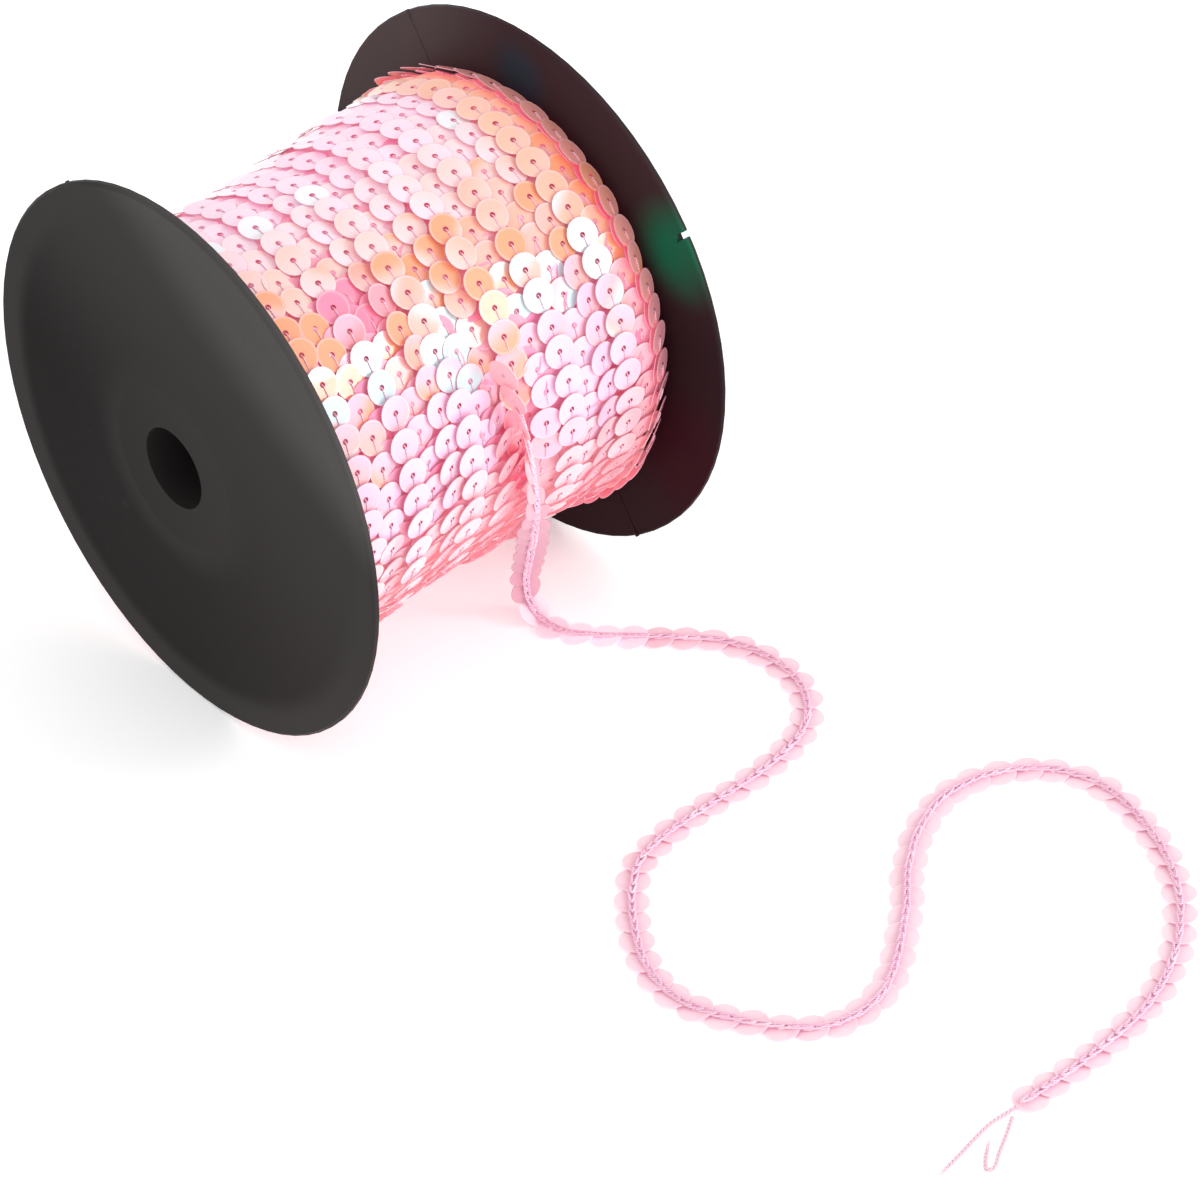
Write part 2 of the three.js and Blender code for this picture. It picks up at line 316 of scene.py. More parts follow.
class Shade:
    """A socket of a material's tree that adds, multiplies and mixes like a number."""

    def __init__(self, tree, socket=None):
        self.tree = tree
        self.socket = socket

    def node(self, kind, inputs, output=0, stops=(), **settings):
        """A new node; its settings and a ramp's stops, (place, colour), come before its inputs."""
        made = self.tree.nodes.new(kind)
        for name, value in settings.items():
            setattr(made, name, value)
        if stops:
            elements = made.color_ramp.elements
            elements.remove(elements[0])
            elements[0].position, elements[0].color = stops[0]
            for place, colour in stops[1:]:
                elements.new(place).color = colour
        for name, value in inputs.items():
            if isinstance(value, Shade):
                self.tree.links.new(value.socket, made.inputs[name])
            else:
                made.inputs[name].default_value = value
        return Shade(self.tree, made.outputs[output])

    def maths(self, operation, *values):
        given = dict(enumerate(values))
        return self.node("ShaderNodeMath", given, operation=operation)

    def __add__(self, other):
        return self.maths("ADD", self, other)

    def __radd__(self, other):
        return self.maths("ADD", other, self)

    def __sub__(self, other):
        return self.maths("SUBTRACT", self, other)

    def __rsub__(self, other):
        return self.maths("SUBTRACT", other, self)

    def __mul__(self, other):
        return self.maths("MULTIPLY", self, other)

    def __rmul__(self, other):
        return self.maths("MULTIPLY", other, self)

    def __truediv__(self, other):
        return self.maths("DIVIDE", self, other)

    def __rtruediv__(self, other):
        return self.maths("DIVIDE", other, self)

    def size(self):
        return self.maths("ABSOLUTE", self)

    def rising(self, low, high):
        """0 below low, 1 above high, and smooth between."""
        given = {"Value": self, "From Min": low, "From Max": high}
        return self.node("ShaderNodeMapRange", given, interpolation_type="SMOOTHSTEP")

    def part(self, axis):
        return self.node("ShaderNodeSeparateXYZ", {0: self}, output=axis)

    def between(self, first, second):
        """The colour that goes from first to second as this value goes from 0 to 1."""
        return self.mixed(self, first, second)

    def mixed(self, share, first, second):
        """The colour at a share of the way from first to second."""
        given = {0: share, 6: first, 7: second}
        return self.node("ShaderNodeMix", given, output=2, data_type="RGBA")

    def attribute(self, name, output="Vector"):
        return self.node("ShaderNodeAttribute", {}, output=output, attribute_name=name)

    def place(self):
        return self.node("ShaderNodeTexCoord", {}, output="Object")

    def noise(self, place, scale, detail=3.0):
        given = {"Vector": place, "Scale": scale, "Detail": detail}
        return self.node("ShaderNodeTexNoise", given, output=0)

    def bump(self, height, strength, distance):
        given = {"Height": height, "Strength": strength, "Distance": distance}
        return self.node("ShaderNodeBump", given)

    def bands(self, low, high, stops):
        """Colours along this value from low to high; each stop is (value, colour)."""
        spread = self.node("ShaderNodeMapRange", {"Value": self, "From Min": low, "From Max": high})
        placed = [((value - low) / (high - low), colour) for value, colour in stops]
        return self.node("ShaderNodeValToRGB", {0: spread}, stops=placed)


def new_finish(name, **plain):
    """A material with its plain values set; returns it, its shader's inputs and a first Shade."""
    material = bpy.data.materials.new(name)
    material.use_nodes = True
    shader = material.node_tree.nodes["Principled BSDF"]
    for setting, value in plain.items():
        shader.inputs[setting.replace("_", " ")].default_value = value
    return material, shader.inputs, Shade(material.node_tree)


def link(shade, socket):
    shade.tree.links.new(shade.socket, socket)


# The backs are paler than the faces, a little deeper around the stitching, with a pale cut edge. The
# hanging part is darkened with painted shade, and just past the landing a painted highlight turns the
# film near white. The backs also glow faintly with painted light, most at the landing and in the
# furrow.
sequin_backs, shader, start = new_finish(
    "sequin_backs", Roughness=0.38, Coat_Weight=0.2, Coat_Roughness=0.2, Emission_Strength=0.4
)
own = start.attribute("own_place")
across, along, rise = own.part(0), own.part(1), own.part(2)
from_middle = own.node("ShaderNodeVectorMath", {0: own}, output="Value", operation="LENGTH")
chance = start.attribute("chance", "Fac")
backs = across.size().rising(0.05, 0.75).between(seen(244, 188, 206), seen(250, 219, 228))
backs = (along.rising(0.2, 0.95) * 0.5).between(backs, seen(242, 184, 204))
mottle = start.noise(start.place(), 420.0)
backs = (mottle.rising(0.4, 0.75) * 0.3).between(backs, seen(249, 210, 221))
backs = (chance * 0.25).between(backs, seen(251, 220, 231))
backs = (from_middle.rising(0.8, 1.0) * 0.5).between(backs, seen(253, 229, 237))
seat = start.attribute("seat")
landing = (0.0213, -0.0358, 0.0)
from_landing = seat.node(
    "ShaderNodeVectorMath", {0: seat, 1: landing}, output="Value", operation="DISTANCE"
)
# Painted highlight: just past the landing the film turns near white.
painted_landing_light = 1.0 - from_landing.rising(0.004, 0.0125)
backs = (painted_landing_light * 0.75).between(backs, seen(255, 242, 252))
# Painted shade: the hanging part is darker, and paler where it comes up in the furrow.
height = seat.part(2)
hanging = height.rising(0.0014, 0.007) * 0.85
in_furrow = height.rising(0.036, 0.05)
hanging_painted_shade = in_furrow.between(seen(204, 142, 160), seen(250, 190, 196))
backs = hanging.between(backs, hanging_painted_shade)
faces = chance.rising(0.3, 0.7).between(seen(246, 186, 202), seen(250, 202, 224))
faces = hanging.between(faces, hanging_painted_shade)
film = rise.rising(0.0, 0.02).between(backs, faces)
link(film, shader["Base Color"])
# Painted glow: faint everywhere, most at the landing and in the furrow.
painted_glow_share = start.maths("MAXIMUM", painted_landing_light * 0.6, in_furrow * 0.28)
link((painted_glow_share * 0.85 + 0.15).between(seen(0, 0, 0), film), shader["Emission Color"])
link(start.bump(mottle, 0.15, 0.0002), shader["Normal"])

# The stitching thread is a fine twisted polyester, pale pink with painted mauve shade in its turns
# and a faint painted glow. Where it runs on bare past the last sequin it is greyer.
stitch_thread, shader, start = new_finish(
    "stitch_thread", Roughness=0.8, Sheen_Weight=0.15, Sheen_Roughness=0.5, Emission_Strength=0.04
)
place = start.place()
twist = start.node(
    "ShaderNodeTexWave",
    {"Vector": place, "Scale": 900.0, "Distortion": 2.0, "Detail": 1.0},
    output="Fac",
    bands_direction="DIAGONAL",
)
# Painted shade: mauve in the turns of the twist.
shadowed = twist.between(seen(236, 178, 206), seen(250, 214, 229))
patches = start.noise(place, 260.0)
shadowed = (patches.rising(0.5, 0.7) * 0.45).between(shadowed, seen(253, 230, 239))
past_last_sequin = 1.0 - place.part(0).rising(-0.0105, -0.009)
bare = past_last_sequin * (1.0 - place.part(1).rising(-0.155, -0.15))
shadowed = (bare * 0.6).between(shadowed, seen(238, 210, 219))
link(shadowed, shader["Base Color"])
# A faint painted glow in the thread's own colours.
link(shadowed, shader["Emission Color"])
link(start.bump(twist, 0.5, 0.0001), shader["Normal"])

route_spans = 12
route_places = smooth_line([row[:3] for row in trim_route], 0.25, route_spans)
route_looks = smooth_line([look_vector(*row[3:]) for row in trim_route], 0.0, route_spans)
ahead = np.gradient(route_places, axis=0)
ahead /= np.linalg.norm(ahead, axis=1)[:, None]
route_looks -= ahead * (route_looks * ahead).sum(1)[:, None]
route_looks /= np.linalg.norm(route_looks, axis=1)[:, None]

trim_sink = 0.00012
loose_line = guide_line("loose_line", route_places + route_looks * trim_sink, route_looks)
loose_disc = sequin_disc("loose_disc", 24, True)
loose_sequins = laid_along(
    "loose_end_sequins",
    loose_line,
    Piece=loose_disc,
    Step=trim_pitch,
    Tilt=math.radians(-6.0),
    Unevenness=math.radians(3.0),
    Scatter=0.00015,
    Seed=4,
    Finish=sequin_backs,
)

# Chain stitch: each loop starts inside the one before, narrows towards its far end and lies over the
# start of the next one there.
chain_step = 0.0022
loop_half_length = 0.00185
loop_half_width = 0.0006
loop_thread = 0.00025
loop_height = 0.00022
loop_climb = 0.00016
loop_steps = 12
loop_sides = 4


def ring_tube(name, middles, radius, sides):
    """A closed loop of thread through the given middle points."""
    middles = np.array(middles)
    count = len(middles)
    places, faces = [], []
    for i, middle in enumerate(middles):
        onward = Vector(middles[(i + 1) % count] - middles[i - 1]).normalized()
        level = onward.cross(Vector((0, 0, 1))).normalized()
        upright = level.cross(onward)
        for side in range(sides):
            angle = 2 * math.pi * side / sides
            swing = level * math.cos(angle) + upright * math.sin(angle)
            places.append(Vector(middle) + swing * radius)
    for i in range(count):
        here, there = i * sides, (i + 1) % count * sides
        for side in range(sides):
            after = (side + 1) % sides
            faces.append((here + side, there + side, there + after, here + after))
    return mesh_object(name, places, faces, places)


loop_middles = []
for i in range(loop_steps):
    angle = 2 * math.pi * i / loop_steps
    narrowing = 0.75 - 0.25 * math.cos(angle)
    loop_middles.append((
        loop_half_width * math.sin(angle) * narrowing,
        loop_half_length * math.cos(angle),
        -loop_height - loop_climb * math.cos(angle),
    ))
chain_loop = ring_tube("chain_loop", loop_middles, loop_thread, loop_sides)
chain_lift = 0.00005
chain_line = guide_line("chain_line", route_places - route_looks * chain_lift, route_looks)
chain_stitch = laid_along(
    "loose_end_chain_stitch",
    chain_line,
    Piece=chain_loop,
    Step=chain_step,
    Tilt=0.0,
    Unevenness=math.radians(4.0),
    Scatter=0.00008,
    Seed=11,
    Finish=stitch_thread,
)

# Past the last sequin the thread runs on bare and frayed: a long end and a narrow loop, each of
# three plies.
thread_height = 0.00055
long_end_route = [
    (-0.0089, -0.1648),
    (-0.0123, -0.1645),
    (-0.0167, -0.1642),
    (-0.0209, -0.1647),
    (-0.0254, -0.1655),
    (-0.0304, -0.1662),
]
loop_end_route = [
    (-0.0134, -0.1656),
    (-0.0164, -0.1673),
    (-0.0203, -0.1693),
    (-0.0236, -0.1710),
    (-0.0245, -0.1705),
    (-0.0237, -0.1694),
    (-0.0216, -0.1678),
    (-0.0197, -0.1664),
]
ply_count = 3
ply_lay = 0.0026
ply_swing = 0.00022
ply_radius = 0.00019
ply_sides = 6
ply_spans = 16
ply_tip = 0.35
ply_taper = 0.003


def twisted_thread(name, route):
    """Plies that wind about the route, each a closed tube with a tapered end."""
    middle = smooth_line([(x, y, thread_height) for x, y in route], 0.25, ply_spans)
    onward = np.gradient(middle, axis=0)
    onward /= np.linalg.norm(onward, axis=1)[:, None]
    level = np.cross(onward, (0, 0, 1))
    gone = np.concatenate([[0], np.cumsum(np.linalg.norm(np.diff(middle, axis=0), axis=1))])
    places, faces = [], []
    for ply in range(ply_count):
        turn = 2 * math.pi * (gone / ply_lay + ply / ply_count)
        tube = middle + ply_swing * (level * np.cos(turn)[:, None])
        tube[:, 2] += ply_swing * np.sin(turn)
        first = len(places)
        for i, centre in enumerate(tube):
            left = gone[-1] - gone[i]
            thin = ply_radius * (ply_tip + (1 - ply_tip) * min(1.0, left / ply_taper))
            for side in range(ply_sides):
                angle = 2 * math.pi * side / ply_sides
                swung = level[i] * math.cos(angle) * thin
                places.append(centre + swung + np.array((0, 0, math.sin(angle) * thin)))
        for i in range(len(tube) - 1):
            here, there = first + i * ply_sides, first + (i + 1) * ply_sides
            for side in range(ply_sides):
                after = (side + 1) % ply_sides
                faces.append((here + side, there + side, there + after, here + after))
        faces.append([first + side for side in range(ply_sides)])
        last = first + (len(tube) - 1) * ply_sides
        faces.append([last + side for side in reversed(range(ply_sides))])
    made = mesh_object(name, places, faces)
    made.data.materials.append(stitch_thread)
    return made


thread_end = twisted_thread("thread_end_plies", long_end_route)
thread_loop = twisted_thread("thread_loop_plies", loop_end_route)

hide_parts("loose_end")
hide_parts("thread_end")
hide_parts("thread_loop")
for piece in (loose_sequins, chain_stitch, thread_end, thread_loop):
    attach(piece, "root")
drop(loose_line, loose_disc, chain_loop, chain_line)

# The wound trim
# Some ninety metres of the same trim, led by hand on the core in rows that lie over and under each
# other. What shows is the outermost layer, faces out, and in the furrows the layer below.
axis_height = 0.049877
lean_low, lean_high = math.radians(2.5), math.radians(1.0)
middle_shift = 0.0002
wound_half = 0.0374
wound_bore = 0.0109
wound_profile = [
    (-37.4, 35.6),
    (-35.6, 37.5),
    (-31.0, 38.3),
    (-26.0, 38.4),
    (-21.0, 38.2),
    (-15.0, 37.7),
    (-8.0, 37.6),
    (-2.0, 37.3),
    (4.0, 38.3),
    (9.0, 38.6),
    (14.0, 39.0),
    (20.0, 39.4),
    (25.0, 39.2),
    (31.5, 40.0),
    (34.6, 39.7),
    (36.0, 38.2),
    (37.4, 35.6),
]
fullness = {"turn": 138, "height": 0.6, "middle": -3, "reach": 15}
furrows = [
    {"x": 5.7, "slant": -0.125, "turn": 2, "span": 56, "half_width": 5.6, "depth": 3.3},
    {"x": -4, "slant": -0.09, "turn": 48, "span": 44, "half_width": 3.4, "depth": 0.9},
    {"x": -17, "slant": -0.06, "turn": 62, "span": 52, "half_width": 3.2, "depth": 0.7},
]

# The rows from one flange to the other: place in millimetres, how far a row rides above or below
# its neighbours, how far it rolls towards +X, in degrees, and how squarely it mirrors the light,
# which sets how much painted icy reflection it takes.
rows = [
    {"x": -34.2, "lift": -0.20, "roll": -3, "shine": 0.4},
    {"x": -30.0, "lift": 0.35, "roll": 0, "shine": 0.45},
    {"x": -24.9, "lift": -0.40, "roll": 5, "shine": 0.0},
    {"x": -19.7, "lift": 0.40, "roll": 0, "shine": 0.8},
    {"x": -15.4, "lift": -0.60, "roll": 3, "shine": 0.2},
    {"x": -11.0, "lift": -0.10, "roll": 7, "shine": 0.0},
    {"x": -6.9, "lift": 0.40, "roll": 0, "shine": 1.1},
    {"x": -3.0, "lift": -0.35, "roll": 1, "shine": 1.1},
    {"x": 1.0, "lift": -0.05, "roll": 7, "shine": 0.0},
    {"x": 5.6, "lift": 0.35, "roll": 6, "shine": 0.0},
    {"x": 10.0, "lift": -0.35, "roll": 0, "shine": 0.9},
    {"x": 14.3, "lift": 0.40, "roll": 0, "shine": 0.8},
    {"x": 18.6, "lift": -0.40, "roll": 0, "shine": 0.9},
    {"x": 22.9, "lift": -0.05, "roll": 6, "shine": 0.1},
    {"x": 27.0, "lift": 0.40, "roll": 0, "shine": 0.85},
    {"x": 30.8, "lift": -0.40, "roll": 1, "shine": 0.0},
    {"x": 34.3, "lift": 0.45, "roll": 8, "shine": 0.0},
]
row_change_turn = 132
row_change_share = 0.62
steps_per_turn = 90
wound_pitch = 0.0051
slope_reach = 2.5
slope_turn = 4
slope_share = 0.7
mean_radius = 38


def hump(distance):
    return (1 + math.cos(math.pi * min(abs(distance), 1.0))) / 2


def sunk_depth(x, turn):
    """How far the furrows sink the surface at a place along the axis and a turn about it."""
    depth = 0.0
    for furrow in furrows:
        off = (turn - furrow["turn"] + 180) % 360 - 180
        middle = furrow["x"] + furrow["slant"] * (off + furrow["turn"])
        share = hump((x - middle) / furrow["half_width"]) * hump(off / furrow["span"])
        depth += furrow["depth"] * share
    return depth


def wound_radius(x, turn):
    """The winding's outer radius in millimetres at a place along the axis and a turn about it."""
    radius = float(np.interp(x, *zip(*wound_profile)))
    side = min(max((x - fullness["middle"]) / fullness["reach"], -1.0), 1.0)
    radius += fullness["height"] * side * math.cos(math.radians(turn - fullness["turn"]))
    return radius - sunk_depth(x, turn)


def on_spool(x, radius, turn):
    """A place on the leaned spool, in metres, from millimetres along and out from its axis."""
    turn = math.radians(turn)
    y = -radius * math.cos(turn) / 1000
    share = min(max((x / 1000 + wound_half) / (2 * wound_half), 0.0), 1.0)
    lean = math.tan(lean_low + (lean_high - lean_low) * share)
    return Vector((x / 1000 + lean * y + middle_shift, y, axis_height + radius * math.sin(turn) / 1000))


def wound_line(name, table, sink):
    """A guide line that winds through the rows of a table, from row to row on the hidden side."""
    places, outwards, shines, sunks = [], [], [], []
    for step in range(len(table) * steps_per_turn):
        number, share = divmod(step / steps_per_turn, 1)
        here = table[int(number)]
        after = table[min(int(number) + 1, len(table) - 1)]
        change = 1 - hump(max(0.0, share - row_change_share) / (1 - row_change_share))
        x, lift, roll, shine = (here[k] + (after[k] - here[k]) * change for k in here)
        turn = row_change_turn - 360 * share
        along = wound_radius(x + slope_reach, turn) - wound_radius(x - slope_reach, turn)
        along /= 2 * slope_reach
        round_about = wound_radius(x, turn + slope_turn) - wound_radius(x, turn - slope_turn)
        round_about /= math.radians(2 * slope_turn) * mean_radius
        out = Vector((0, -math.cos(math.radians(turn)), math.sin(math.radians(turn))))
        sideways = Vector((1, 0, 0))
        tilted = out - sideways * (along * slope_share - math.tan(math.radians(roll)))
        tilted -= sideways.cross(out) * round_about
        places.append(on_spool(x, wound_radius(x, turn) + lift - sink, turn))
        outwards.append(tilted.normalized())
        shines.append(shine)
        sunks.append(sunk_depth(x, turn))
    return guide_line(name, places, outwards, shine=shines, sunk=sunks)


# The face of the film is pearly pink, with a painted iridescent sheen that shifts with the way a
# sequin faces: lilac low on the front, icy white as a painted reflection where it mirrors the light,
# then orange, peach and lilac again over the top.
low_turn, high_turn = -90.0, 140.0
film_bands = [
    (-90.0, seen(230, 156, 166)),
    (-50.0, seen(246, 192, 198)),
    (-30.0, seen(250, 204, 208)),
    (-12.0, seen(250, 206, 215)),
    (-4.0, seen(247, 206, 230)),
    (8.0, seen(244, 204, 232)),
    (18.0, seen(246, 192, 210)),
    (28.0, seen(249, 186, 180)),
    (48.0, seen(251, 186, 168)),
    (60.0, seen(253, 204, 196)),
    (72.0, seen(253, 217, 221)),
    (84.0, seen(253, 221, 237)),
    (112.0, seen(253, 219, 240)),
    (140.0, seen(246, 194, 214)),
]
# Near the far flange the painted sheen shifts from pink to orange and stays there.
right_bands = [
    (-90.0, seen(228, 142, 154)),
    (-30.0, seen(250, 190, 194)),
    (-8.0, seen(251, 202, 210)),
    (12.0, seen(251, 196, 212)),
    (26.0, seen(251, 184, 168)),
    (50.0, seen(252, 186, 150)),
    (84.0, seen(252, 196, 166)),
    (140.0, seen(244, 172, 152)),
]

# How strongly the film's painted glow shines, the turns at which its painted sheen goes icy, orange
# or stray white, and the place and turn of one deep pink patch of painted shade.
painted_film_glow = 0.2
icy_turn, icy_half_width = 30.0, 13.0
orange_turn, stray_turn = 42.0, 74.0
blush_place, blush_turn = -0.0172, 47.0


def film_finish(name, depth):
    """The pearly face film; depth 0 is the outermost layer, 1 the deep pink painted shade of the one
    below.
    """
    material, shader, start = new_finish(
        name,
        Roughness=0.22,
        Specular_IOR_Level=0.6,
        Coat_Weight=0.35,
        Coat_Roughness=0.08,
        Emission_Strength=painted_film_glow,
    )
    facing, seat = start.attribute("facing"), start.attribute("seat")
    own = start.attribute("own_place")
    chance = start.attribute("chance", "Fac")
    shine, sunk = start.attribute("shine", "Fac"), start.attribute("sunk", "Fac")
    from_middle = own.node("ShaderNodeVectorMath", {0: own}, output="Value", operation="LENGTH")

    # A turn of 0 looks to the front and 90 straight up. Behind the top the colours run back as they
    # came, but faster. Each sequin is off by its own chance, by a slow drift and by a bow in its film.
    drift = start.noise(seat, 55.0, 1.0) - 0.5
    bow = own.part(1) * 7.0 + own.part(0) * (chance - 0.5) * 16.0
    turn = start.maths("ARCTAN2", facing.part(2), facing.part(1) * -1.0) * (180 / math.pi)
    turn = start.maths("MAXIMUM", turn, -180.0 - turn)
    turn = start.maths("MINIMUM", turn, (180.0 - turn) * 1.4)
    turn = turn + (chance - 0.5) * 9.0 + drift * 24.0
    bowed = turn + bow

    # The long bands of painted sheen, with the far flange's side warmer and its last row coral.
    film = bowed.bands(low_turn, high_turn, film_bands)
    film_right = bowed.bands(low_turn, high_turn, right_bands)
    rightness = (seat.part(0) + drift * 0.006).rising(0.0245, 0.028)
    film = rightness.between(film, film_right)
    last_row = seat.part(0).rising(0.0315, 0.0335)
    last_film = turn.rising(-10.0, 25.0).between(seen(246, 158, 166), seen(250, 162, 150))
    film = (last_row * 0.85).between(film, last_film)

    # Single sequins go orange in the painted sheen, icy and stray white as painted reflections, and
    # deep pink with painted shade, each by its turn and its chance.
    lot = start.maths("FRACT", chance * 7.31)
    orange = 1.0 - ((bowed - orange_turn).size() / 20.0).rising(0.6, 1.1)
    orange = orange * (lot + rightness * 0.2).rising(0.46, 0.62)
    film = (orange * 0.85).between(film, seen(249, 160, 112))
    off_light = (turn + bow * 0.5 - icy_turn).size()
    off_light = off_light / (start.maths("MAXIMUM", shine, 0.05) * icy_half_width)
    icy = (1.0 - off_light.rising(0.55, 1.0)) * shine.rising(0.2, 0.4)
    film = icy.between(film, seen(208, 232, 237))
    stray = 1.0 - ((turn - stray_turn).size() / 15.0).rising(0.8, 1.0)
    stray = stray * lot.rising(0.88, 0.9) * (1.0 - rightness)
    film = (stray * 0.85).between(film, seen(236, 244, 248))
    blush = 1.0 - (seat.part(0) - blush_place).size().rising(0.004, 0.0075)
    blush = blush * (1.0 - (turn - blush_turn).size().rising(7.0, 14.0)) * chance.rising(0.1, 0.4)
    film = (blush * 0.85).between(film, seen(249, 128, 170))

    # The furrow's coral painted shade, the low right's painted shade, the pale cut edges of each film
    # with a dark line at the very edge that is partly the cut edge and partly painted shadow, and a
    # ring of painted shade about the hole.
    film = (sunk.rising(1.2, 2.8) * 0.85).between(film, seen(247, 122, 138))
    low_right = seat.part(0).rising(0.0, 0.012) * (1.0 - turn.rising(-10.0, 8.0))
    film = (low_right * 0.22).between(film, seen(236, 140, 156))
    film = (from_middle.rising(0.8, 0.95) * 0.3).between(film, seen(254, 226, 230))
    film = (from_middle.rising(0.965, 0.985) * 0.7).between(film, seen(206, 134, 150))
    film = ((1.0 - from_middle.rising(0.17, 0.21)) * 0.4).between(film, seen(205, 130, 150))
    # The layer below is deep pink painted shade, paler low down away from the furrows.
    deep = chance.between(seen(247, 122, 166), seen(250, 172, 196))
    if depth:
        low = (1.0 - seat.part(2).rising(0.034, 0.056)) * (1.0 - sunk.rising(0.8, 2.0))
        deep = low.between(deep, seen(252, 202, 208))
        film = start.mixed(depth, film, deep)
    link(film, shader["Base Color"])

    # The film has a painted glow where light would come through it: low on the front, in the last row
    # and on top.
    painted_glow_share = start.maths("MAXIMUM", 1.0 - turn.rising(-34.0, -12.0), last_row * 0.85)
    painted_glow_share = start.maths("MAXIMUM", painted_glow_share, turn.rising(55.0, 95.0) * 0.6)
    glow = start.mixed(0.4, film, deep)
    glow = (painted_glow_share * 0.5 + 0.38).between(seen(0, 0, 0), glow)
    link(glow, shader["Emission Color"])
    mottle = start.noise(start.place(), 700.0)
    link(0.17 + mottle * 0.12, shader["Roughness"])
    link(start.bump(mottle, 0.08, 0.0001), shader["Normal"])
    return material


film_faces = film_finish("film_faces", 0.0)
under_faces = film_finish("under_faces", 0.8)

# The winding's first turn starts low beside the flange and climbs on to the first row.
outer_sink, under_sink = 0.55, 1.35
first_turn = dict(rows[0], lift=-0.9)
outer_line = wound_line("outer_line", [first_turn] + rows, outer_sink)
under_rows = [
    {"x": (a["x"] + b["x"]) / 2, "lift": 0.0, "roll": b["roll"] - 4, "shine": 0.0}
    for a, b in zip(rows, rows[1:])
]
under_rows.append({"x": 34.4, "lift": 0.1, "roll": 7, "shine": 0.0})
under_line = wound_line("under_line", under_rows, under_sink)
wound_disc = sequin_disc("wound_disc", 18, False)
outer_lay = {
    "Step": wound_pitch,
    "Tilt": math.radians(-7.0),
    "Unevenness": math.radians(3.4),
    "Scatter": 0.00042,
    "Seed": 7,
}
outer_sequins = laid_along(
    "outer_sequins", outer_line, Piece=wound_disc, Finish=film_faces, **outer_lay
)
under_sequins = laid_along(
    "under_sequins",
    under_line,
    Piece=wound_disc,
    Step=wound_pitch,
    Tilt=math.radians(-6.0),
    Unevenness=math.radians(3.0),
    Scatter=0.0004,
    Seed=23,
    Finish=under_faces,
)

# A short stitch comes up through each hole and runs down to the next sequin's edge. It is laid as
# the sequins are, so that each one sits in its own hole.
stitch_points = [
    (-0.00015, -0.0002),
    (0.0002, 0.00016),
    (0.0014, 0.00018),
    (0.0026, 0.00006),
]
stitch_radius = 0.00011
stitch_sides = 5
places, faces = [], []
for y, z in stitch_points:
    for side in range(stitch_sides):
        angle = 2 * math.pi * side / stitch_sides
        places.append((stitch_radius * math.cos(angle), y, z + stitch_radius * math.sin(angle)))
for i in range(len(stitch_points) - 1):
    here, there = i * stitch_sides, (i + 1) * stitch_sides
    for side in range(stitch_sides):
        after = (side + 1) % stitch_sides
        faces.append((here + side, there + side, there + after, here + after))
faces.append(list(range(stitch_sides)))
faces.append([len(places) - 1 - side for side in range(stitch_sides)])
stitch = mesh_object("stitch", places, faces, places)
outer_stitches = laid_along(
    "outer_stitches", outer_line, Piece=stitch, Finish=stitch_thread, **outer_lay
)

# The layers below are one closed body, sunk under the sequins. Its deep pink is painted shade,
# paler low down, and it glows faintly with painted light.
body_sink = 2.1
body_sectors = 120
body_step = 1.0
body_half = 36.9


def body_ring(x, radius_at):
    turns = [-360 * sector / body_sectors for sector in range(body_sectors)]
    return [on_spool(x, radius_at(turn), turn) for turn in turns]


body_count = round(2 * body_half / body_step)
body_rows = []
for i in range(body_count + 1):
    x = -body_half + 2 * body_half * i / body_count
    body_rows.append(body_ring(x, lambda turn: wound_radius(x, turn) - body_sink))
body_rows.append(body_ring(body_half, lambda turn: wound_bore * 1000))
body_rows.append(body_ring(-body_half, lambda turn: wound_bore * 1000))
places = [place for row in body_rows for place in row]
faces = []
for i in range(len(body_rows)):
    here, there = i * body_sectors, (i + 1) % len(body_rows) * body_sectors
    for sector in range(body_sectors):
        after = (sector + 1) % body_sectors
        faces.append((here + sector, here + after, there + after, there + sector))
wound_layers = mesh_object("wound_layers", places, faces)
wound_layers.data.shade_smooth()
layers_pink, shader, start = new_finish(
    "layers_pink", Roughness=0.4, Coat_Weight=0.2, Emission_Strength=0.2
)
place = start.place()
cells = start.node(
    "ShaderNodeTexVoronoi", {"Vector": place, "Scale": 240.0}, output="Distance"
)
# Painted shade: deep pink cells, paler low down; the same colour is a faint painted glow.
deep = cells.rising(0.2, 0.8).between(seen(247, 148, 178), seen(236, 104, 144))
deep = (1.0 - place.part(2).rising(0.034, 0.056)).between(deep, seen(251, 196, 204))
link(deep, shader["Base Color"])
link(deep, shader["Emission Color"])
link(start.bump(cells, 0.6, 0.0006), shader["Normal"])
wound_layers.data.materials.append(layers_pink)

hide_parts("wound_trim")
for piece in (outer_sequins, under_sequins, wound_layers, outer_stitches):
    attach(piece, "root")
drop(outer_line, under_line, wound_disc, stitch)

# The spool
# One black moulding of styrene: two thin flanges on a bored core. The mould's parting line crosses
# the flanges' inner faces as a fine raised rib, with a small nib of flash where it meets the rim.
parting_face = 37.70
parting_turns = (125.0, -53.6)
rib_width, rib_height, rib_depth = 0.42, 0.14, 0.3
nib_width, nib_height = 1.1, 0.35
rib_shoulder = 0.4
rib_corners = 5
rib_stations = [
    (11.0, rib_width, rib_height),
    (48.6, rib_width, rib_height),
    (49.3, nib_width, nib_height),
    (50.12, nib_width / 2, nib_height),
]

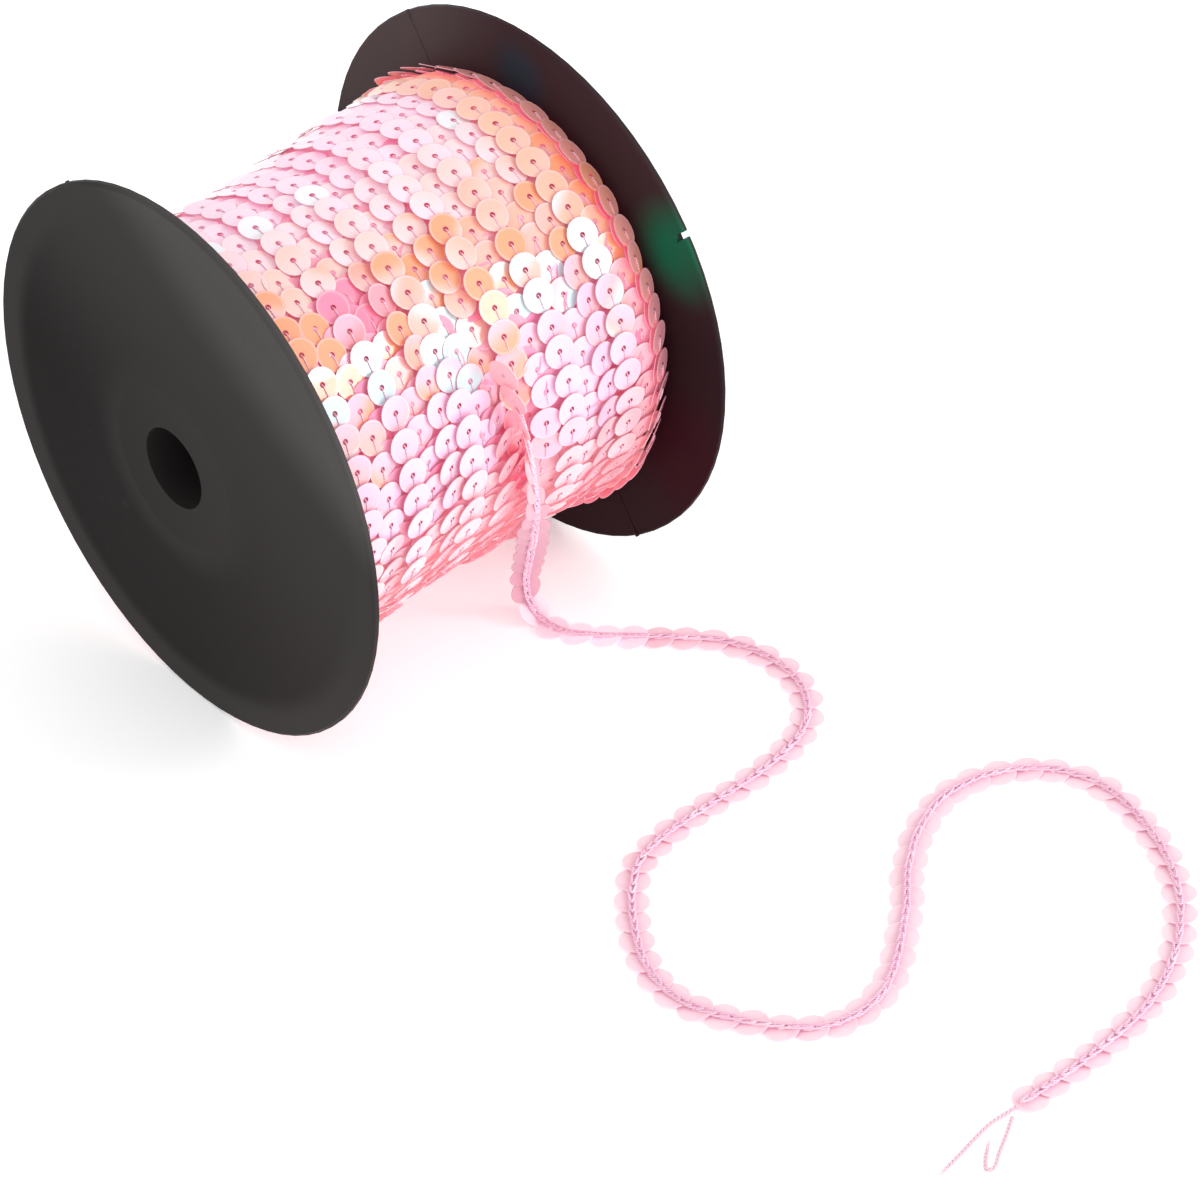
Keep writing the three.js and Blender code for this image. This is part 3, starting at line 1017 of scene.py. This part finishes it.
places, faces = [], []
for side in (-1, 1):
    for turn in parting_turns:
        first = len(places)
        for radius, width, height in rib_stations:
            swing = math.degrees(width / 2 / radius)
            shoulder = height * rib_shoulder
            section = [(-rib_depth, -1), (shoulder, -1), (height, 0), (shoulder, 1), (-rib_depth, 1)]
            for proud, share in section:
                places.append(on_spool(side * (parting_face - proud), radius, turn + swing * share))
        for station in range(len(rib_stations) - 1):
            here, there = first + station * rib_corners, first + (station + 1) * rib_corners
            for i in range(rib_corners):
                after = (i + 1) % rib_corners
                faces.append((here + i, here + after, there + after, there + i))
        faces.append([first + i for i in reversed(range(rib_corners))])
        faces.append([len(places) - rib_corners + i for i in range(rib_corners)])
parting_ribs = mesh_object("parting_ribs", places, faces)
turned = bmesh.new()
turned.from_mesh(parting_ribs.data)
bmesh.ops.recalc_face_normals(turned, faces=turned.faces)
turned.to_mesh(parting_ribs.data)
turned.free()

# The plastic is a near-black grey with a fine grain. The thin flanges are a little dished. Painted
# light makes the spool paler towards its front and top, and the near flange paler high on its front,
# with painted highlights about its hub and along its rim. The far flange's inner face has painted
# reflections of the trim and the room in maroon, green and blue, and painted light high at its back.
black_plastic, shader, start = new_finish("black_plastic", Specular_IOR_Level=0.02)
place = start.place()
cloudy = start.noise(place, 24.0, 2.0)
grain = start.noise(place, 1500.0, 2.0)
fine = start.noise(place, 420.0, 4.0)
forward = place.part(1) * -1.0
black = cloudy.rising(0.3, 0.7).between(seen(14, 11, 10), seen(21, 17, 16))
# Painted light: paler towards the front.
black = (forward.rising(-0.04, 0.045) * 0.6).between(black, seen(56, 51, 51))
# Painted light on the near flange high on its front, and a painted highlight near its upper front edge.
near_side = 1.0 - place.part(0).rising(-0.030, -0.026)
above_axis = place.part(2) - axis_height
up_and_forward = forward * math.sin(math.radians(30)) + above_axis * math.cos(math.radians(30))
lit_side = up_and_forward.rising(-0.02, 0.032)
black = (lit_side * near_side * 0.55).between(black, seen(62, 59, 59))
black = (up_and_forward.rising(0.028, 0.042) * near_side * 0.6).between(black, seen(92, 89, 89))
# Painted highlights along the near flange's rim and about its hub, on its shaded side.
from_axis = start.maths("SQRT", forward * forward + above_axis * above_axis)
rim_and_hub_highlight = from_axis.rising(0.042, 0.047) * 0.5 + (1.0 - from_axis.rising(0.015, 0.022)) * 0.25
black = (rim_and_hub_highlight * near_side * (1.0 - lit_side)).between(black, seen(70, 66, 66))
black = (fine.rising(0.62, 0.8) * 0.25).between(black, seen(56, 51, 51))
# Painted reflection of the trim: the far flange's inner face goes maroon.
upright_x = place.part(0) + forward * math.tan(lean_high)
inner_side = upright_x.rising(0.030, 0.034) * (1.0 - upright_x.rising(0.0383, 0.0388))
black = (inner_side * 0.75).between(black, seen(42, 21, 26))
# Painted light: paler high up, and mauve high on the far inner face.
painted_top_light = place.part(2).rising(0.055, 0.095)
black = (painted_top_light * 0.3).between(black, seen(66, 62, 62))
black = (painted_top_light * inner_side * 0.45).between(black, seen(72, 46, 52))
# Painted light high on the back of the far inner face.
painted_back_light = place.part(1).rising(0.0, 0.03) * place.part(2).rising(0.045, 0.07)
black = (inner_side * painted_back_light * 0.42).between(black, seen(104, 96, 96))
# Painted reflections on the far inner face: green, blue and maroon spots.
glints = [
    (46.0, 33.0, 0.012, seen(12, 104, 74)),
    (41.0, 90.0, 0.009, seen(44, 54, 64)),
    (45.0, -22.0, 0.020, seen(50, 16, 24)),
]
for radius, turn, reach, tint in glints:
    spot = tuple(on_spool(parting_face, radius, turn))
    away_from = place.node(
        "ShaderNodeVectorMath", {0: place, 1: spot}, output="Value", operation="DISTANCE"
    )
    glint = (1.0 - away_from.rising(reach * 0.2, reach)) * cloudy.rising(0.2, 0.5) * inner_side
    black = (glint * 0.9).between(black, tint)
link(black, shader["Base Color"])
link(0.34 + cloudy * 0.08 + grain * 0.06, shader["Roughness"])
link(start.bump(grain, 0.06, 0.0001), shader["Normal"])
spool = bpy.data.objects["spool"]
spool.data.materials.clear()
spool.data.materials.append(black_plastic)
parting_ribs.data.materials.append(black_plastic)
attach(parting_ribs, "root")

# The surface and the light
# A white light table in a bright, even studio, with two softboxes in front: a small one on the
# right that the sequins mirror, and a larger one low over the table.
table_size = 60.0
table_glow = 0.3
studio_light = 0.93
white = (1.0, 1.0, 1.0, 1.0)
light_aim = Vector((0.0, 0.0, 0.05))
table_top, shader, start = new_finish(
    "table_top", Roughness=0.7, Emission_Color=white, Emission_Strength=table_glow
)
tint = start.noise(start.place(), 3.0).between(seen(250, 250, 250), seen(253, 253, 253))
link(tint, shader["Base Color"])
half = table_size / 2
table = mesh_object(
    "table", [(-half, -half, 0), (half, -half, 0), (half, half, 0), (-half, half, 0)], [(0, 1, 2, 3)]
)
table.data.materials.append(table_top)

world = bpy.data.worlds.new("studio")
world.use_nodes = True
backdrop = world.node_tree.nodes["Background"].inputs
backdrop["Color"].default_value = white
backdrop["Strength"].default_value = studio_light
bpy.context.scene.world = world
bpy.context.scene.view_settings.view_transform = "Standard"


def softbox(name, towards, distance, size, power):
    """A square area light that stands in the given direction and faces the spool."""
    data = bpy.data.lights.new(name, "AREA")
    data.shape = "SQUARE"
    data.size = size
    data.energy = power
    made = bpy.data.objects.new(name, data)
    towards = Vector(towards).normalized()
    made.location = light_aim + towards * distance
    made.rotation_euler = towards.to_track_quat("Z", "Y").to_euler()
    bpy.context.collection.objects.link(made)


softbox("front_softbox", towards=(0.54, -0.75, 0.38), distance=1.4, size=0.42, power=5.0)
softbox("low_softbox", towards=(0.1, -1.0, 0.16), distance=1.2, size=0.8, power=3.0)
